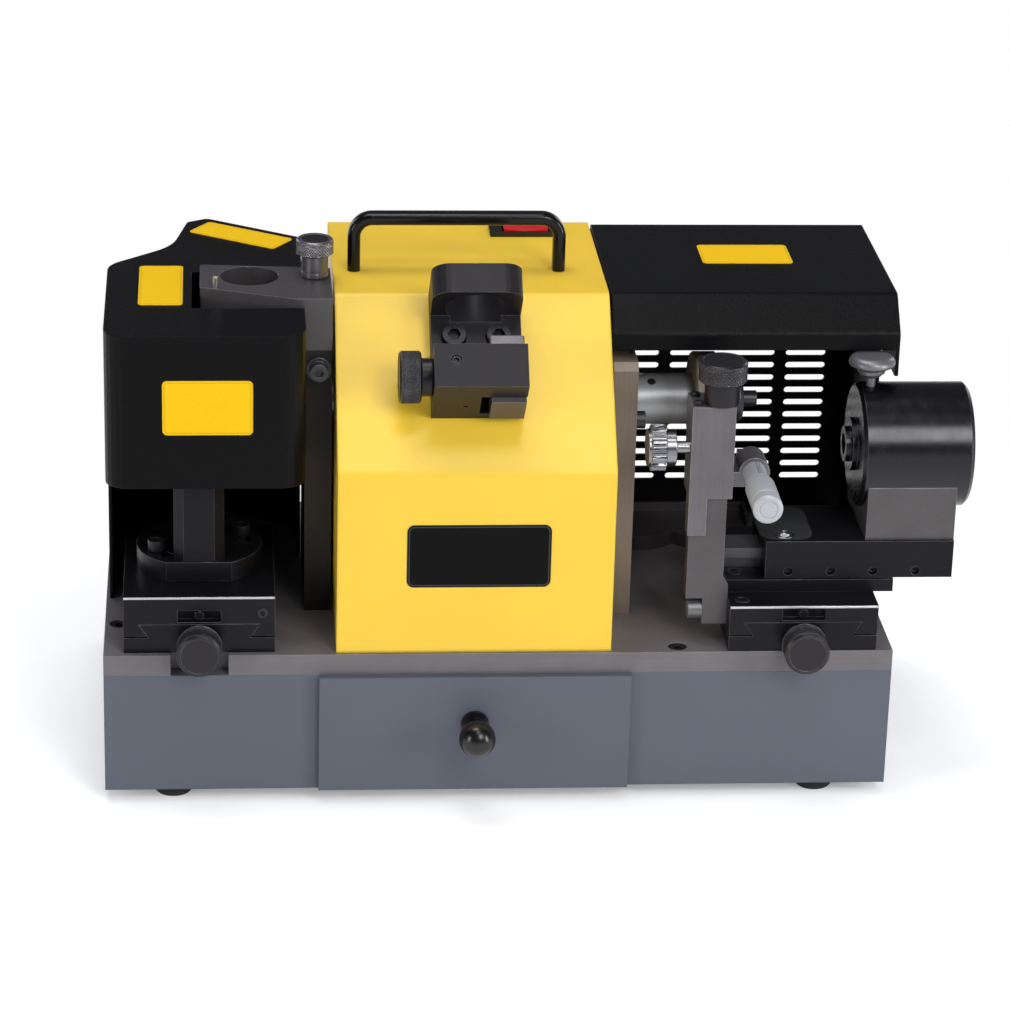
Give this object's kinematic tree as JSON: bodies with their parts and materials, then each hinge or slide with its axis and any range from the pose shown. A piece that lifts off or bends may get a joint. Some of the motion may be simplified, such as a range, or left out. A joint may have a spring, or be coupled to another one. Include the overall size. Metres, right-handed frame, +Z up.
{
  "type": "tool and cutter grinder",
  "caption": "Bench tool and cutter grinder with a drawer base, sloped motor hood, guarded wheel, dovetail slides, indexing sleeve, micrometer tooth rest and tool setter.",
  "frame": {"origin": "on the floor, under the middle of the whole part's box", "axes": "+Z up, +X to the right as the operator sees the machine, +Y away from the operator"},
  "size_m": [0.483, 0.276, 0.3085],
  "materials": {
    "blue_grey_paint": "satin, fine texture",
    "dark_plate": "satin dark grey",
    "rubber": "matte",
    "black_steel": "black oxide",
    "steel": "turned or ground",
    "stack_steel": "laminated",
    "black_plastic": "fine grain",
    "black_gloss": "polished",
    "red_plastic": "polished, translucent red",
    "yellow_paint": "smooth gloss enamel",
    "cast_iron": "machined and painted",
    "aluminium": "cast",
    "black_powder": "coarse wrinkle powder coat",
    "gunmetal": "grey phosphate",
    "black_iron": "ground and blackened",
    "brass": "machined",
    "abrasive": "bonded abrasive on a metal body",
    "chrome": "satin chrome"
  },
  "bodies": {
    "base": {"cabinet": "blue_grey_paint", "base_plate": "dark_plate", "feet": "rubber", "plate_screws": "black_steel", "drawer_runners": "steel", "cable_gland": "black_plastic", "hood": "yellow_paint", "casting_left": "cast_iron", "casting_right": "cast_iron", "casting_screws": "black_steel", "motor_housing": "aluminium", "stator": "stack_steel", "bearings": "steel", "left_guard": "black_powder", "ring_bracket": "gunmetal", "right_hood": "black_powder", "dust_tray": "black_plastic", "handle": "black_plastic", "switch_bezel": "black_gloss", "left_slide_base": "black_iron", "right_slide_base": "black_iron", "setter_bracket": "gunmetal", "setter_screws": "black_steel", "setter_block": "gunmetal"},
    "drawer_body": {"drawer": "blue_grey_paint", "drawer_knob": "black_gloss"},
    "rotor": {"spindle": "steel", "rotor_core": "stack_steel", "left_wheel": "abrasive", "left_wheel_nut": "steel", "arbor": "steel", "right_wheel": "abrasive", "right_wheel_nut": "steel"},
    "left_feed": {"left_feed_screw": "black_steel"},
    "left_slide": {"left_saddle": "black_iron", "left_feed_nut": "brass", "swivel_screws": "black_steel"},
    "left_swivel": {"left_swivel_plate": "black_iron", "rest_post": "black_iron"},
    "ring_clamp": {"ring_clamp_knob": "gunmetal"},
    "right_feed": {"right_feed_screw": "black_steel"},
    "right_slide": {"right_saddle": "black_iron", "right_feed_nut": "brass", "cross_plate": "black_iron", "cross_rail": "steel", "stand_plate": "gunmetal"},
    "carriage_body": {"carriage": "black_iron", "cradle_block": "black_iron", "sleeve": "black_iron"},
    "chuck": {"collet_chuck": "gunmetal"},
    "pin": {"index_pin": "steel"},
    "rest": {"rest_block": "gunmetal", "micrometer_barrel": "chrome"},
    "height": {"height_knob": "gunmetal"},
    "thimble": {"micrometer_thimble": "chrome"},
    "finger": {"tooth_rest": "steel"},
    "lock": {"lock_knob": "chrome"},
    "jaw": {"setter_jaw": "gunmetal"},
    "setter_screw": {"setter_knob": "gunmetal"},
    "rocker": {"switch_rocker": "red_plastic"}
  },
  "joints": [
    {"name": "drawer_slide", "type": "slide", "parent": "base", "child": "drawer_body", "axis": [0, -1, 0], "range_m": [0, 0.15]},
    {"name": "spindle_spin", "type": "hinge", "parent": "base", "child": "rotor", "pos_m": [-0.03655, 0.003, 0.2035], "axis": [1, 0, 0], "continuous": true},
    {"name": "left_feed_turn", "type": "hinge", "parent": "base", "child": "left_feed", "pos_m": [-0.1886, -0.093, 0.096], "axis": [0, 1, 0], "range_deg": [-541, 2701]},
    {"name": "left_saddle_slide", "type": "slide", "parent": "base", "child": "left_slide", "axis": [0, 1, 0], "range_m": [-0.003, 0.015]},
    {"name": "swivel_turn", "type": "hinge", "parent": "left_slide", "child": "left_swivel", "pos_m": [-0.1886, -0.041, 0.1238], "axis": [0, 0, 1], "range_deg": [-15, 15]},
    {"name": "ring_clamp_turn", "type": "hinge", "parent": "base", "child": "ring_clamp", "pos_m": [-0.12355, 0.003, 0.277], "axis": [0, 0, 1], "range_deg": [-360, 360]},
    {"name": "right_feed_turn", "type": "hinge", "parent": "base", "child": "right_feed", "pos_m": [0.1473, -0.096, 0.096], "axis": [0, 1, 0], "range_deg": [-541, 2701]},
    {"name": "right_saddle_slide", "type": "slide", "parent": "base", "child": "right_slide", "axis": [0, 1, 0], "range_m": [-0.003, 0.015]},
    {"name": "carriage_slide", "type": "slide", "parent": "right_slide", "child": "carriage_body", "axis": [1, 0, 0], "range_m": [-0.02, 0]},
    {"name": "chuck_turn", "type": "hinge", "parent": "carriage_body", "child": "chuck", "pos_m": [0.17305, -0.042, 0.193], "axis": [1, 0, 0], "continuous": true},
    {"name": "index_pin_pull", "type": "slide", "parent": "carriage_body", "child": "pin", "axis": [0, 0, 1], "range_m": [-0.005, 0]},
    {"name": "rest_height", "type": "slide", "parent": "right_slide", "child": "rest", "axis": [0, 0, 1], "range_m": [0, 0.012]},
    {"name": "height_knob_turn", "type": "hinge", "parent": "rest", "child": "height", "pos_m": [0.09755, -0.078, 0.231], "axis": [0, 0, 1], "range_deg": [-1, 4321]},
    {"name": "thimble_turn", "type": "hinge", "parent": "rest", "child": "thimble", "pos_m": [0.11705, -0.138, 0.192], "axis": [0, 1, 0], "range_deg": [-1801, 1801]},
    {"name": "tooth_rest_feed", "type": "slide", "parent": "rest", "child": "finger", "axis": [0, 1, 0], "range_m": [-0.0025, 0.0025]},
    {"name": "lock_knob_turn", "type": "hinge", "parent": "rest", "child": "lock", "pos_m": [0.08105, -0.079, 0.2055], "axis": [1, 0, 0], "range_deg": [-360, 360]},
    {"name": "setter_knob_turn", "type": "hinge", "parent": "base", "child": "setter_screw", "pos_m": [-0.06155, -0.07742, 0.24629], "axis": [1, 0, 0], "range_deg": [-1801, 1]},
    {"name": "setter_jaw_slide", "type": "slide", "parent": "base", "child": "jaw", "axis": [1, 0, 0], "range_m": [-0.005, 0]},
    {"name": "switch_rock", "type": "hinge", "parent": "base", "child": "rocker", "pos_m": [0.00145, 0.09, 0.2755], "axis": [0, 1, 0], "range_deg": [-7, 7]}
  ],
  "couplings": [
    {"joint": "left_feed_turn", "follows": "left_saddle_slide", "rad_per_m": 3141.6},
    {"joint": "right_feed_turn", "follows": "right_saddle_slide", "rad_per_m": 3141.6},
    {"joint": "height_knob_turn", "follows": "rest_height", "rad_per_m": 6283.2},
    {"joint": "thimble_turn", "follows": "tooth_rest_feed", "rad_per_m": 12566},
    {"joint": "setter_knob_turn", "follows": "setter_jaw_slide", "rad_per_m": 6283.2}
  ]
}
